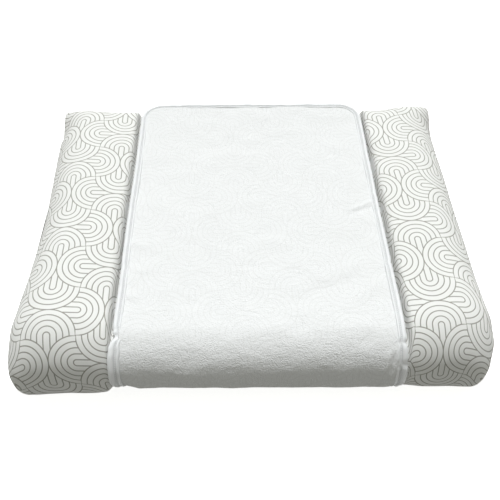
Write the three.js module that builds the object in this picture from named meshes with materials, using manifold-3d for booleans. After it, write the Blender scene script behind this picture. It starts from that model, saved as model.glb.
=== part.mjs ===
// A baby changing pad: a foam core of three blocks in a waterproof liner, inside a printed
// cotton cover that a zip on the right-hand end closes, with a terry towel strapped over the middle.
// Millimetres. +X to the right, +Y to the back, +Z up; the origin is under the middle of the pad.
import * as THREE from 'three';
import { mergeVertices } from 'three/addons/utils/BufferGeometryUtils.js';
import Module from 'manifold-3d';

const wasm = await Module();
wasm.setup();

// ---------- driving dimensions ----------
const WIDTH = 700;            // over the cover, left to right
const DEPTH = 550;            // over the cover, front to back
const CENTRE_HEIGHT = 100;    // the flat middle that the towel lies on
const END_RADII = { top: 76, lower: 28, front: 30, back: 10 }; // rounding round both end faces
const FRONT_LOWER_RADIUS = 36;
const FRONT_UPPER_RADIUS_MAX = 80;
const FRONT_UPPER_CLEARANCE = 42; // height below the front's upper curve
const BACK_LOWER_RADIUS = 24;
const FABRIC = 1.2;           // cover thickness
const LINER = 0.8;            // waterproof liner thickness
const GAP = 0.3;              // between neighbouring pieces
const COVER_FLOOR = 4.7;      // top of the base panel, inside
const COVER_SEAM_Z = 12;      // seam between the top cover and the base panel
const LINER_SEAM_Z = 40;
const TOWEL_X = 5;            // the towel and the flat middle lie this far right of the pad's middle
const TOWEL_HALF_WIDTH = 205;
const TOWEL_BACK = DEPTH / 2 + 6; // the towel's back edge stands just past the pad
const TOWEL_THICKNESS = 2.5;
const TOWEL_CORNER_RADIUS = 42;
const BINDING_WIDTH = 9;
const BINDING_THICKNESS = 2.7;
const LIP_END = -214;         // where the towel ends under the front of the pad
const LIP_LIFT = 3.2;         // how far the base rises over that lip
const FOAM_JOINT = 210;       // the foam blocks meet under the groove, this far from the towel's middle
const STRAP_X = 150;          // strap centre, from the towel's middle
const STRAP_WIDTH = 25;
const STRAP_THICKNESS = 1.2;
const CHANNEL_DEPTH = 2.2;    // the base rises this far over each strap
const CHANNEL_HALF_WIDTH = 13.5;
const CHANNEL_SLOPE = 1.5;    // each side of a channel comes down over this width
const ZIP_Z = 42;             // the zip's centre line, on the right-hand end
const ZIP_HALF_LENGTH = 202;
const ZIP_HALF_OPENING = 14;
const TEETH_HALF_GAP = 0.15;
const TEETH_WIDTH = 1.25;
const ZIP_OPENING_REACH = 15; // the opening is cut this far in and out through the end face
const TAPE_DEPTHS = [1, 0.1]; // the tape's back and front faces, in from the end face
const TEETH_HALF_DEPTH = 1;
const TAPE_PAST_TEETH = 5;
const STOP_HALF_LENGTH = 1.5;
const STOP_HEIGHT = 1.4;      // the stops stand this far out of the end face
const STOP_FROM_TAPE_END = 2.8;
const SLIDER_Y = 190;         // slider centre, zip closed
// Slider and pull: sizes out from the end face start with `out`, sizes along the zip with `along`,
// and sizes across it, from its centre line, with `across`
const SLIDER = {
  alongHalf: 6, acrossHalf: 4.3, skirtWidth: 0.9, outSkirt: 0.2, outPlate: 1.3, outPlateTop: 2.5,
  outBeam: 4.1, outTop: 4.9, alongPost: 4, postHalf: 0.8,
};
const PULL = {
  outAxis: 3.4, half: 0.4, acrossBar: 2.1, armWidth: 0.9, alongArm: 7, alongLeaf: 6, alongEnd: 24,
  acrossLeaf: 3.2,
};
const LABEL = { left: 236, right: 264, height: 32, thickness: 0.6, aboveSeam: 1 };
const FRONT_LOWER_STEPS = 6;  // the towel and the straps use the cover's own steps, so they lie parallel
const FRONT_UPPER_STEPS = 8;
const BACK_LOWER_STEPS = 4;
const BACK_UPPER_STEPS = 4;
const TOP_POINTS = [-100, 20, 130];   // where the top is divided, from front to back
const LIP_STEP = [9, 16];             // the base comes back down this far behind the towel's lip
const END_DEGREES = [0, 16, 32, 46, 58, 68, 77, 84, 90]; // stations round the end faces' rounding

const halfWidth = WIDTH / 2;
const front = -DEPTH / 2;
const back = DEPTH / 2;

// Sizes of the cross-section at a distance from the towel's middle, left or right:
// [distance, height, fall of the crown towards front and back, back upper radius, lift over the lip]
const SECTIONS = [
  [0, CENTRE_HEIGHT, 0, 22, LIP_LIFT],
  [198, CENTRE_HEIGHT, 0, 22, LIP_LIFT],
  [205, 93, 0, 22, LIP_LIFT],
  [208, 88, 0, 22, 0],
  [213, 99, 3, 28, 0],
  [219, 111, 6, 34, 0],
  [227, 116, 7, 38, 0],
  [238, 118, 8, 40, 0],
  [328, 127, 8, 41, 0],
];

// ---------- solids ----------
function closeToManifold(geometry) {
  const bare = geometry.clone();
  bare.deleteAttribute('normal');
  bare.deleteAttribute('uv');
  const merged = mergeVertices(bare, 1e-4);
  const index = merged.index.array;
  const position = merged.attributes.position.array;
  return new wasm.Manifold(new wasm.Mesh({
    numProp: 3,
    vertProperties: Float32Array.from(position),
    triVerts: Uint32Array.from(index),
  }));
}

function toGeometry(solid) {
  const mesh = solid.getMesh();
  const geometry = new THREE.BufferGeometry();
  geometry.setAttribute('position', new THREE.BufferAttribute(Float32Array.from(mesh.vertProperties), 3));
  geometry.setIndex(new THREE.BufferAttribute(Uint32Array.from(mesh.triVerts), 1));
  geometry.computeVertexNormals();
  return geometry;
}

function box(low, high) {
  const size = new THREE.Vector3().subVectors(high, low);
  const geometry = new THREE.BoxGeometry(size.x, size.y, size.z);
  geometry.translate((low.x + high.x) / 2, (low.y + high.y) / 2, (low.z + high.z) / 2);
  return geometry;
}

const v = (x, y, z) => new THREE.Vector3(x, y, z);
const boxSolid = (low, high) => closeToManifold(box(low, high));

// Skins equal loops of points, one at each station, and closes both ends with a fan.
function loft(loops) {
  const count = loops[0].length;
  const points = loops.flat();
  const triangles = [];
  for (let s = 0; s < loops.length - 1; s += 1) {
    for (let i = 0; i < count; i += 1) {
      const j = (i + 1) % count;
      const a = s * count + i;
      const b = s * count + j;
      triangles.push([a, a + count, b], [b, a + count, b + count]);
    }
  }
  for (const [start, flip] of [[0, true], [(loops.length - 1) * count, false]]) {
    const middle = new THREE.Vector3();
    for (let i = 0; i < count; i += 1) middle.addScaledVector(points[start + i], 1 / count);
    points.push(middle);
    for (let i = 0; i < count; i += 1) {
      const a = start + i;
      const b = start + ((i + 1) % count);
      triangles.push(flip ? [a, b, points.length - 1] : [b, a, points.length - 1]);
    }
  }
  const geometry = new THREE.BufferGeometry().setFromPoints(points);
  geometry.setIndex(triangles.flat());
  return closeToManifold(geometry);
}

// Extrudes an outline drawn as (y, z) points along X.
function extrudeAlongX(outline, xLow, xHigh) {
  const shape = new THREE.Shape(outline.map(([y, z]) => new THREE.Vector2(y, z)));
  const geometry = new THREE.ExtrudeGeometry(shape, { depth: xHigh - xLow, bevelEnabled: false });
  geometry.applyMatrix4(new THREE.Matrix4().makeBasis(v(0, 1, 0), v(0, 0, 1), v(1, 0, 0)));
  geometry.translate(xLow, 0, 0);
  return closeToManifold(geometry);
}

function arc(centreY, centreZ, radius, fromDegrees, toDegrees, steps) {
  const points = [];
  for (let i = 0; i <= steps; i += 1) {
    const angle = THREE.MathUtils.degToRad(fromDegrees + ((toDegrees - fromDegrees) * i) / steps);
    points.push([centreY + radius * Math.cos(angle), centreZ + radius * Math.sin(angle)]);
  }
  return points;
}

// ---------- the pad's body ----------
function sectionAt(x) {
  const last = SECTIONS[SECTIONS.length - 1];
  const clamped = Math.min(Math.abs(x - TOWEL_X), last[0]);
  const i = Math.max(1, SECTIONS.findIndex((row) => row[0] >= clamped));
  const [a, b] = [SECTIONS[i - 1], SECTIONS[i]];
  const t = (clamped - a[0]) / (b[0] - a[0]);
  const [, height, crown, backRadius, lift] = a.map((value, k) => value + (b[k] - value) * t);
  return { height, crown, backRadius, lift };
}

// How far the rounding of the end face draws in each side of the cross-section at x.
function endRounding(x, inset) {
  return Object.fromEntries(Object.entries(END_RADII).map(([side, outerRadius]) => {
    const radius = outerRadius - inset;
    const past = Math.max(0, Math.abs(x) - (halfWidth - outerRadius));
    return [side, radius - Math.sqrt(Math.max(0, radius ** 2 - past ** 2))];
  }));
}

// The closed outline of one cross-section, drawn in from the cover's outside by `inset`,
// squeezed where the end face rounds off, and no lower than `floor`.
function outlineAt(x, inset, floor) {
  const { height, crown, backRadius, lift } = sectionAt(x);
  const topAt = (y) => height - crown * (y / back) ** 2;
  const frontRadiusGuess = Math.min(FRONT_UPPER_RADIUS_MAX, height - FRONT_UPPER_CLEARANCE);
  const frontTop = topAt(front + frontRadiusGuess);
  const frontRadius = Math.min(frontRadiusGuess, frontTop - FRONT_UPPER_CLEARANCE);
  const backTop = topAt(back - backRadius);
  const points = [
    ...arc(front + FRONT_LOWER_RADIUS, lift + FRONT_LOWER_RADIUS, FRONT_LOWER_RADIUS - inset,
      270, 180, FRONT_LOWER_STEPS),
    ...arc(front + frontRadius, frontTop - frontRadius, frontRadius - inset,
      180, 90, FRONT_UPPER_STEPS),
    ...TOP_POINTS.map((y) => [y, topAt(y) - inset]),
    ...arc(back - backRadius, backTop - backRadius, backRadius - inset, 90, 0, BACK_UPPER_STEPS),
    ...arc(back - BACK_LOWER_RADIUS, BACK_LOWER_RADIUS, BACK_LOWER_RADIUS - inset,
      0, -90, BACK_LOWER_STEPS),
    [LIP_END + LIP_STEP[1], inset],
    [LIP_END + LIP_STEP[0], lift + inset],
  ];
  const drawnIn = endRounding(x, inset);
  const yScale = 1 - (drawnIn.front + drawnIn.back) / (DEPTH - 2 * inset);
  const zScale = 1 - (drawnIn.top + drawnIn.lower) / (height - 2 * inset);
  return points.map(([y, z]) => [
    front + inset + drawnIn.front + (y - front - inset) * yScale,
    Math.max(inset + drawnIn.lower + (z - inset) * zScale, floor),
  ]);
}

// A solid of the whole pad, drawn in by `inset`; `channels` makes the base rise over the straps.
function padSolid(inset, floor, channels) {
  const distances = SECTIONS.slice(0, -1).map((row) => row[0]);
  if (channels) {
    for (const edge of [-CHANNEL_HALF_WIDTH, CHANNEL_HALF_WIDTH]) {
      distances.push(STRAP_X + edge, STRAP_X + edge + Math.sign(edge) * CHANNEL_SLOPE);
    }
  }
  const stations = new Set(distances.flatMap((d) => [TOWEL_X - d, TOWEL_X + d]));
  for (const degrees of END_DEGREES) {
    const across = (END_RADII.top - inset) * Math.sin(THREE.MathUtils.degToRad(degrees));
    stations.add(halfWidth - END_RADII.top + across).add(-halfWidth + END_RADII.top - across);
  }
  return loft([...stations].sort((a, b) => a - b).map((x) => {
    const fromStrap = Math.abs(Math.abs(x - TOWEL_X) - STRAP_X);
    const level = channels && fromStrap <= CHANNEL_HALF_WIDTH + 1e-6 ? CHANNEL_DEPTH : floor;
    return outlineAt(x, inset, level).map(([y, z]) => v(x, y, z));
  }));
}

const FAR = 1000;
const above = (z) => boxSolid(v(-FAR, -FAR, z), v(FAR, FAR, FAR));
const below = (z) => boxSolid(v(-FAR, -FAR, -FAR), v(FAR, FAR, z));
const between = (xLow, xHigh) => boxSolid(v(xLow, -FAR, -FAR), v(xHigh, FAR, FAR));

function coverPieces() {
  const shell = padSolid(0, 0, true).subtract(padSolid(FABRIC, COVER_FLOOR, false));
  const zipOpening = boxSolid(
    v(halfWidth - ZIP_OPENING_REACH, -ZIP_HALF_LENGTH - GAP, ZIP_Z - ZIP_HALF_OPENING),
    v(halfWidth + ZIP_OPENING_REACH, ZIP_HALF_LENGTH + GAP, ZIP_Z + ZIP_HALF_OPENING),
  );
  return {
    cover_top: shell.intersect(above(COVER_SEAM_Z)).subtract(zipOpening),
    cover_base: shell.intersect(below(COVER_SEAM_Z - GAP)),
  };
}

function linerPieces() {
  const outside = FABRIC + GAP;
  const inside = outside + LINER;
  const floor = COVER_FLOOR + GAP;
  const shell = padSolid(outside, floor, false).subtract(padSolid(inside, floor + LINER, false));
  return {
    liner_top: shell.intersect(above(LINER_SEAM_Z)),
    liner_base: shell.intersect(below(LINER_SEAM_Z - GAP)),
  };
}

function foamPieces() {
  const inset = FABRIC + LINER + 2 * GAP;
  const core = padSolid(inset, COVER_FLOOR + LINER + 2 * GAP, false);
  const left = TOWEL_X - FOAM_JOINT;
  const right = TOWEL_X + FOAM_JOINT;
  return {
    foam_centre: core.intersect(between(left + GAP / 2, right - GAP / 2)),
    foam_side_left: core.intersect(between(-FAR, left - GAP / 2)),
    foam_side_right: core.intersect(between(right + GAP / 2, FAR)),
  };
}

// ---------- the towel ----------
// The line down the towel from its back edge, over the front and under the pad to `end`,
// standing `offset` off the cover.
function towelLine(offset, end) {
  const upper = CENTRE_HEIGHT - FRONT_UPPER_CLEARANCE;
  const lower = FRONT_LOWER_RADIUS;
  return [
    [TOWEL_BACK, CENTRE_HEIGHT + offset],
    ...arc(front + upper, CENTRE_HEIGHT - upper, upper + offset, 90, 180, FRONT_UPPER_STEPS),
    ...arc(front + lower, LIP_LIFT + lower, lower + offset, 180, 270, FRONT_LOWER_STEPS),
    [end, LIP_LIFT - offset],
  ];
}

function towelSheet(thickness, halfWidthX, end) {
  const outline = [...towelLine(GAP + thickness, end), ...towelLine(GAP, end).reverse()];
  return extrudeAlongX(outline, TOWEL_X - halfWidthX, TOWEL_X + halfWidthX);
}

// A tall block with the towel's plan outline, drawn in by `inset` from its edges.
function towelPlan(inset) {
  const x = TOWEL_HALF_WIDTH - inset;
  const y = TOWEL_BACK - inset;
  const r = TOWEL_CORNER_RADIUS - inset;
  const shape = new THREE.Shape();
  shape.moveTo(-x, -FAR);
  shape.lineTo(x, -FAR);
  shape.lineTo(x, y - r);
  shape.absarc(x - r, y - r, r, 0, Math.PI / 2, false);
  shape.lineTo(-x + r, y);
  shape.absarc(-x + r, y - r, r, Math.PI / 2, Math.PI, false);
  shape.lineTo(-x, -FAR);
  const geometry = new THREE.ExtrudeGeometry(shape, { depth: 2 * FAR, bevelEnabled: false, curveSegments: 8 });
  geometry.translate(TOWEL_X, 0, -FAR);
  return closeToManifold(geometry);
}

function towelPieces() {
  const hemFront = LIP_END - BINDING_WIDTH;
  const inner = BINDING_WIDTH + GAP;
  return {
    towel_panel: towelSheet(TOWEL_THICKNESS, TOWEL_HALF_WIDTH, hemFront - GAP).intersect(towelPlan(inner)),
    towel_binding: towelSheet(BINDING_THICKNESS, TOWEL_HALF_WIDTH, LIP_END)
      .intersect(towelPlan(0)).subtract(towelPlan(BINDING_WIDTH)),
    towel_front_hem: boxSolid(
      v(TOWEL_X - TOWEL_HALF_WIDTH + inner, hemFront, LIP_LIFT - GAP - BINDING_THICKNESS),
      v(TOWEL_X + TOWEL_HALF_WIDTH - inner, LIP_END, LIP_LIFT - GAP),
    ),
  };
}

// Flat elastic from the towel's front hem, under the pad and up the back to its back edge.
function strap(side) {
  const centre = [back - BACK_LOWER_RADIUS, BACK_LOWER_RADIUS];
  const line = (offset, lowest) => [
    [LIP_END + GAP, lowest],
    ...arc(...centre, BACK_LOWER_RADIUS + offset, -90, 0, BACK_LOWER_STEPS)
      .map(([y, z]) => [y, Math.max(z, lowest)]),
    [back + offset, CENTRE_HEIGHT - GAP],
  ];
  const outer = line(GAP + STRAP_THICKNESS, GAP);
  const inner = line(GAP, GAP + STRAP_THICKNESS);
  const x = TOWEL_X + side * STRAP_X;
  return extrudeAlongX([...outer, ...inner.reverse()], x - STRAP_WIDTH / 2, x + STRAP_WIDTH / 2);
}

// ---------- the zip on the right-hand end ----------
// A block on the end face: how far out of it, where along the zip and how high across it.
function zipBlock([outLow, outHigh], [alongLow, alongHigh], [acrossLow, acrossHigh]) {
  return boxSolid(
    v(halfWidth + outLow, alongLow, ZIP_Z + acrossLow),
    v(halfWidth + outHigh, alongHigh, ZIP_Z + acrossHigh),
  );
}

// The two heights across the zip for its upper (1) or lower (-1) side, the lower height first.
const acrossSide = (side, near, far) => (side > 0 ? [near, far] : [-far, -near]);

function zipTape(side) {
  const near = TEETH_HALF_GAP + TEETH_WIDTH + GAP;
  const [deep, shallow] = TAPE_DEPTHS;
  return zipBlock([-deep, -shallow], [-ZIP_HALF_LENGTH, ZIP_HALF_LENGTH],
    acrossSide(side, near, ZIP_HALF_OPENING - GAP));
}

function zipTeeth(side) {
  const length = ZIP_HALF_LENGTH - TAPE_PAST_TEETH;
  return zipBlock([-TEETH_HALF_DEPTH, TEETH_HALF_DEPTH], [-length, length],
    acrossSide(side, TEETH_HALF_GAP, TEETH_HALF_GAP + TEETH_WIDTH));
}

function zipStop(across, y) {
  return zipBlock([-TAPE_DEPTHS[0], STOP_HEIGHT], [y - STOP_HALF_LENGTH, y + STOP_HALF_LENGTH], across);
}

// A plate over the teeth with a skirt down each side, and a bridge for the pull.
function zipSlider() {
  const s = SLIDER;
  const along = [SLIDER_Y - s.alongHalf, SLIDER_Y + s.alongHalf];
  const narrow = [-s.postHalf, s.postHalf];
  const plate = zipBlock([s.outPlate, s.outPlateTop], along, [-s.acrossHalf, s.acrossHalf]);
  const skirts = [-1, 1].map((side) => zipBlock([s.outSkirt, s.outPlate], along,
    acrossSide(side, s.acrossHalf - s.skirtWidth, s.acrossHalf)));
  const posts = [-s.alongPost, s.alongPost].map((at) => zipBlock([s.outPlateTop, s.outTop],
    [SLIDER_Y + at - s.postHalf, SLIDER_Y + at + s.postHalf], narrow));
  const beam = zipBlock([s.outBeam, s.outTop], [SLIDER_Y - s.alongPost, SLIDER_Y + s.alongPost], narrow);
  return [...skirts, ...posts, beam].reduce((whole, piece) => whole.add(piece), plate);
}

// A bar through the slider's bridge, two arms and the leaf that the fingers hold.
function zipPull() {
  const p = PULL;
  const out = [p.outAxis - p.half, p.outAxis + p.half];
  const bar = zipBlock(out, [SLIDER_Y - p.half, SLIDER_Y + p.half], [-p.acrossBar, p.acrossBar]);
  const arms = [-1, 1].map((side) => zipBlock(out, [SLIDER_Y - p.half, SLIDER_Y + p.alongArm],
    acrossSide(side, p.acrossBar - p.armWidth, p.acrossBar)));
  const leafAlong = [SLIDER_Y + p.alongLeaf, SLIDER_Y + p.alongEnd];
  const leaf = zipBlock(out, leafAlong, [-p.acrossLeaf, p.acrossLeaf]);
  return bar.add(arms[0]).add(arms[1]).add(leaf);
}

function zipPieces() {
  const stopY = ZIP_HALF_LENGTH - STOP_FROM_TAPE_END;
  const edge = TEETH_HALF_GAP + TEETH_WIDTH;
  return {
    zip_tape_upper: zipTape(1),
    zip_tape_lower: zipTape(-1),
    zip_teeth_upper: zipTeeth(1),
    zip_teeth_lower: zipTeeth(-1),
    zip_bottom_stop: zipStop([-edge, edge], -stopY),
    zip_top_stop_upper: zipStop(acrossSide(1, TEETH_HALF_GAP, edge), stopY),
    zip_top_stop_lower: zipStop(acrossSide(-1, TEETH_HALF_GAP, edge), stopY),
    zip_slider: zipSlider(),
    zip_pull: zipPull(),
  };
}

// A blank sewn-in label that hangs on the back.
function careLabel() {
  const low = COVER_SEAM_Z + LABEL.aboveSeam;
  return boxSolid(
    v(LABEL.left, back + GAP, low),
    v(LABEL.right, back + GAP + LABEL.thickness, low + LABEL.height),
  );
}

// ---------- assembly ----------
const LOOKS = {
  foam: { color: 0xf1ecd8, roughness: 0.95 },
  liner: { color: 0xf4f4f2, roughness: 0.45 },
  print: { color: 0xe3e1da, roughness: 0.85 },
  base: { color: 0xe9e8e4, roughness: 0.85 },
  terry: { color: 0xf5f5f4, roughness: 0.95 },
  binding: { color: 0xeeeff0, roughness: 0.6 },
  elastic: { color: 0xf2f2f0, roughness: 0.8 },
  tape: { color: 0xededea, roughness: 0.8 },
  teeth: { color: 0xe6e6e3, roughness: 0.4 },
  metal: { color: 0xc9c9cb, roughness: 0.3, metalness: 1 },
};

function lookOf(name) {
  if (name.startsWith('foam')) return 'foam';
  if (name.startsWith('liner')) return 'liner';
  if (name === 'cover_top') return 'print';
  if (name === 'towel_panel') return 'terry';
  if (name.startsWith('towel')) return 'binding';
  if (name.startsWith('elastic')) return 'elastic';
  if (name.startsWith('zip_tape')) return 'tape';
  if (name.startsWith('zip_teeth')) return 'teeth';
  if (name.startsWith('zip')) return 'metal';
  return 'base';
}

const group = new THREE.Group();
const pieces = {
  ...foamPieces(),
  ...linerPieces(),
  ...coverPieces(),
  ...zipPieces(),
  ...towelPieces(),
  elastic_strap_left: strap(-1),
  elastic_strap_right: strap(1),
  care_label: careLabel(),
};
for (const [name, solid] of Object.entries(pieces)) {
  const mesh = new THREE.Mesh(toGeometry(solid), new THREE.MeshStandardMaterial(LOOKS[lookOf(name)]));
  mesh.name = name;
  group.add(mesh);
}

export default group;
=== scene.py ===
"""Looks of the changing pad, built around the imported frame. Metres, +X right, +Y back, +Z up."""
import math

import bmesh
import bpy
import numpy as np
from mathutils import Matrix, Vector


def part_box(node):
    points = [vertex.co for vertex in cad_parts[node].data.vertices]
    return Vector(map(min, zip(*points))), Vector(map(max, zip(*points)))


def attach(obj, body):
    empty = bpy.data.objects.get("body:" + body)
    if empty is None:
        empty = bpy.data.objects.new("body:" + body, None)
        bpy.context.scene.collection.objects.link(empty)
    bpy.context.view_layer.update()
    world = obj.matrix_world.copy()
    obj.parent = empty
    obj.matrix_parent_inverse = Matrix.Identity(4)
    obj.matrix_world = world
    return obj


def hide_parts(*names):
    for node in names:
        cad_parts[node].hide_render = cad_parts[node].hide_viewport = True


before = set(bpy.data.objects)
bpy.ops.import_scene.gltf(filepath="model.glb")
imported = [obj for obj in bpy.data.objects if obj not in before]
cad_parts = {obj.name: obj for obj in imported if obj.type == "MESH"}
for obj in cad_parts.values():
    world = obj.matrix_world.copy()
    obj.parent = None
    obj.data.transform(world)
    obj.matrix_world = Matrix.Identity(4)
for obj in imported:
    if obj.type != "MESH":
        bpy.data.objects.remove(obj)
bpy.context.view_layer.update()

# ---------------------------------------------------------------- sizes
MM = 0.001
cover_low, cover_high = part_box("cover_top")
HALF_WIDTH = (cover_high[0] - cover_low[0]) / 2
FRONT, BACK = cover_low[1], cover_high[1]
binding_low, binding_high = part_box("towel_binding")
TOWEL_X = (binding_low[0] + binding_high[0]) / 2
TOWEL_HALF = (binding_high[0] - binding_low[0]) / 2
TOWEL_BACK = binding_high[1]
TOWEL_CORNER = 42 * MM
STRAP_X = (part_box("elastic_strap_right")[0][0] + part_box("elastic_strap_right")[1][0]) / 2 - TOWEL_X
STRAP_HALF = 12.5 * MM
END_RADII = {"top": 76 * MM, "lower": 28 * MM, "front": 30 * MM, "back": 4 * MM}
BACK_CORNER_FULLNESS = 0.85     # share of the top rounding that the stuffed back corners push out again
FRONT_LOWER = 36 * MM           # under the towel
FRONT_LOWER_SIDES = 27 * MM     # under the bolsters
FRONT_UPPER_MAX = 80 * MM
FRONT_CLEARANCE = 42 * MM
BACK_LOWER = 24 * MM
LIP_LIFT = 3.2 * MM
LIP_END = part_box("towel_front_hem")[1][1]
CHANNEL = 2.2 * MM
SEAM_Z = 12 * MM
GAP = 0.3 * MM
TERRY = 2.5 * MM
MIDDLE_HEIGHT = 100 * MM
END_HEIGHT = 125 * MM
PANEL_IN = 9 * MM           # the terry panel's edge lies under the binding
STITCH_IN = 7.3 * MM        # the binding's seam, in from its edge
STITCH_PITCH = 3.2 * MM
ZIP_Z = (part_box("zip_tape_lower")[0][2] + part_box("zip_tape_upper")[1][2]) / 2
SAME_PLACE = 1e-6           # points nearer than this are joined

# Cross-section against the distance from the towel's middle, in mm:
# distance, height, crown, back upper radius, lift over the towel's lip
SECTIONS = np.array([
    [0, 100, 0, 22, 3.2],
    [199, 100, 0, 22, 3.2],
    [204, 95, 0, 22, 3.2],
    [206, 88, 0, 22, 1.5],
    [207.5, 90, 1, 24, 0],
    [209, 102, 3, 28, 0],
    [211, 110.5, 4, 32, 0],
    [215, 114.5, 5, 35, 0],
    [222, 116.5, 7, 38, 0],
    [238, 118.3, 8, 41, 0],
    [328, 127, 8, 41, 0],
])


def smooth_table(step=0.25, sigma=1.1):
    """SECTIONS sampled finely and rounded off, so that no slope is sharp."""
    distance = np.arange(-20, 380, step)
    reach = int(4 * sigma / step)
    kernel = np.exp(-0.5 * (np.arange(-reach, reach + 1) * step / sigma) ** 2)
    kernel /= kernel.sum()
    columns = [distance]
    for c in range(1, SECTIONS.shape[1]):
        raw = np.interp(np.abs(distance), SECTIONS[:, 0], SECTIONS[:, c])
        padded = np.pad(raw, reach, mode="edge")
        columns.append(np.convolve(padded, kernel, mode="valid"))
    return np.array(columns)


TABLE = smooth_table()


def section_at(x):
    """Height, crown, back radius and lift of the cross-section at x, in metres."""
    d = abs(x - TOWEL_X) / MM
    return [np.interp(d, TABLE[0], TABLE[c]) * MM for c in range(1, TABLE.shape[0])]


# ---------------------------------------------------------------- small tools
def noise(x, y, cell, seed):
    """Smooth value noise from -1 to 1, with cells of that size, the same every run."""
    grid = np.random.RandomState(seed).uniform(-1, 1, (64, 64))
    gx, gy = np.asarray(x) / cell, np.asarray(y) / cell
    ix, iy = np.floor(gx).astype(int), np.floor(gy).astype(int)
    fx, fy = gx - ix, gy - iy
    fx, fy = fx * fx * (3 - 2 * fx), fy * fy * (3 - 2 * fy)
    at = lambda a, b: grid[a % 64, b % 64]
    low = at(ix, iy) * (1 - fx) + at(ix + 1, iy) * fx
    high = at(ix, iy + 1) * (1 - fx) + at(ix + 1, iy + 1) * fx
    return low * (1 - fy) + high * fy


def smoothstep(low, high, t):
    k = np.clip((np.asarray(t) - low) / (high - low), 0, 1)
    return k * k * (3 - 2 * k)


def arc(cy, cz, radius, start, end, count):
    """Points round an arc in degrees, without its last."""
    angle = np.radians(np.linspace(start, end, count, endpoint=False))
    return np.stack([cy + radius * np.cos(angle), cz + radius * np.sin(angle)], 1)


def line(a, b, count):
    """Points from a to b, without b."""
    t = np.linspace(0, 1, count, endpoint=False)[:, None]
    return np.array(a) * (1 - t) + np.array(b) * t


def distances(path):
    """How far along the path each of its points is."""
    return np.concatenate([[0], np.cumsum(np.linalg.norm(np.diff(path, axis=0), axis=1))])


def unit(vectors):
    return vectors / np.linalg.norm(vectors, axis=1)[:, None]


def sample(at, travelled, data):
    """The columns of data, between its rows where needed, at those distances along it."""
    return np.stack([np.interp(at, travelled, column) for column in np.transpose(data)], 1)


def make_object(name, verts, faces, material):
    mesh = bpy.data.meshes.new(name)
    mesh.from_pydata([tuple(p) for p in np.asarray(verts, float)], [], [tuple(f) for f in faces])
    mesh.materials.append(material)
    mesh.validate()
    for polygon in mesh.polygons:
        polygon.use_smooth = True
    obj = bpy.data.objects.new(name, mesh)
    bpy.context.scene.collection.objects.link(obj)
    return obj


def grid_faces(rows, columns, close_columns=False, close_rows=False):
    faces = []
    for r in range(rows if close_rows else rows - 1):
        for c in range(columns if close_columns else columns - 1):
            a, b = r * columns + c, r * columns + (c + 1) % columns
            up = ((r + 1) % rows) * columns
            faces.append((a, b, up + (c + 1) % columns, up + c))
    return faces


def set_uv(obj, uv):
    """One (u, v) for each vertex, in metres of cloth."""
    layer = obj.data.uv_layers.new(name="cloth")
    index = np.empty(len(obj.data.loops), int)
    obj.data.loops.foreach_get("vertex_index", index)
    layer.data.foreach_set("uv", np.asarray(uv, float)[index].ravel())


def add_modifier(obj, kind, **settings):
    modifier = obj.modifiers.new(kind.lower(), kind)
    for key, setting in settings.items():
        setattr(modifier, key, setting)
    return modifier


# ---------------------------------------------------------------- materials
class Shader:
    """A material whose nodes are made by calls."""

    def __init__(self, name, **surface):
        self.material = bpy.data.materials.new(name)
        self.material.use_nodes = True
        self.tree = self.material.node_tree
        self.surface = self.tree.nodes["Principled BSDF"]
        for socket, setting in surface.items():
            self.surface.inputs[socket.replace("_", " ")].default_value = setting

    def link(self, item, socket):
        if isinstance(item, (int, float)):
            socket.default_value = item
        elif isinstance(item, tuple):
            socket.default_value = (*item, 1)[: len(socket.default_value)]
        else:
            self.tree.links.new(item, socket)

    def math(self, operation, *items, clamp=False):
        node = self.tree.nodes.new("ShaderNodeMath")
        node.operation = operation
        node.use_clamp = clamp
        for item, socket in zip(items, node.inputs):
            self.link(item, socket)
        return node.outputs[0]

    def ramp(self, item, low, high, start=0.0, end=1.0):
        node = self.tree.nodes.new("ShaderNodeMapRange")
        node.interpolation_type = "SMOOTHSTEP"
        for socket, setting in zip(node.inputs, (item, low, high, start, end)):
            self.link(setting, socket)
        return node.outputs[0]

    def mix(self, factor, a, b):
        node = self.tree.nodes.new("ShaderNodeMix")
        node.data_type = "RGBA"
        self.link(factor, node.inputs["Factor"])
        self.link(a, node.inputs[6])
        self.link(b, node.inputs[7])
        return node.outputs[2]

    def cloth(self):
        node = self.tree.nodes.new("ShaderNodeUVMap")
        node.uv_map = "cloth"
        return node.outputs[0]

    def place(self):
        return self.tree.nodes.new("ShaderNodeTexCoord").outputs["Object"]

    def split(self, vector):
        node = self.tree.nodes.new("ShaderNodeSeparateXYZ")
        self.link(vector, node.inputs[0])
        return node.outputs[0], node.outputs[1], node.outputs[2]

    def texture(self, kind, vector, size, output=0, **settings):
        """A noise or Voronoi texture with features of that size in metres."""
        node = self.tree.nodes.new(f"ShaderNodeTex{kind}")
        self.link(vector, node.inputs["Vector"])
        node.inputs["Scale"].default_value = 1 / size
        for key, setting in settings.items():
            if key in ("feature", "distance"):
                setattr(node, key, setting)
            else:
                node.inputs[key.replace("_", " ")].default_value = setting
        return node.outputs[output]

    def waves(self, coordinate, size):
        """From -1 to 1 and back once for each size."""
        return self.math("SINE", self.math("MULTIPLY", coordinate, 2 * math.pi / size))

    def color(self, item):
        self.link(item, self.surface.inputs["Base Color"])

    def bump(self, height, distance, strength=1.0):
        node = self.tree.nodes.new("ShaderNodeBump")
        node.inputs["Distance"].default_value = distance
        node.inputs["Strength"].default_value = strength
        self.link(height, node.inputs["Height"])
        self.link(node.outputs[0], self.surface.inputs["Normal"])


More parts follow.
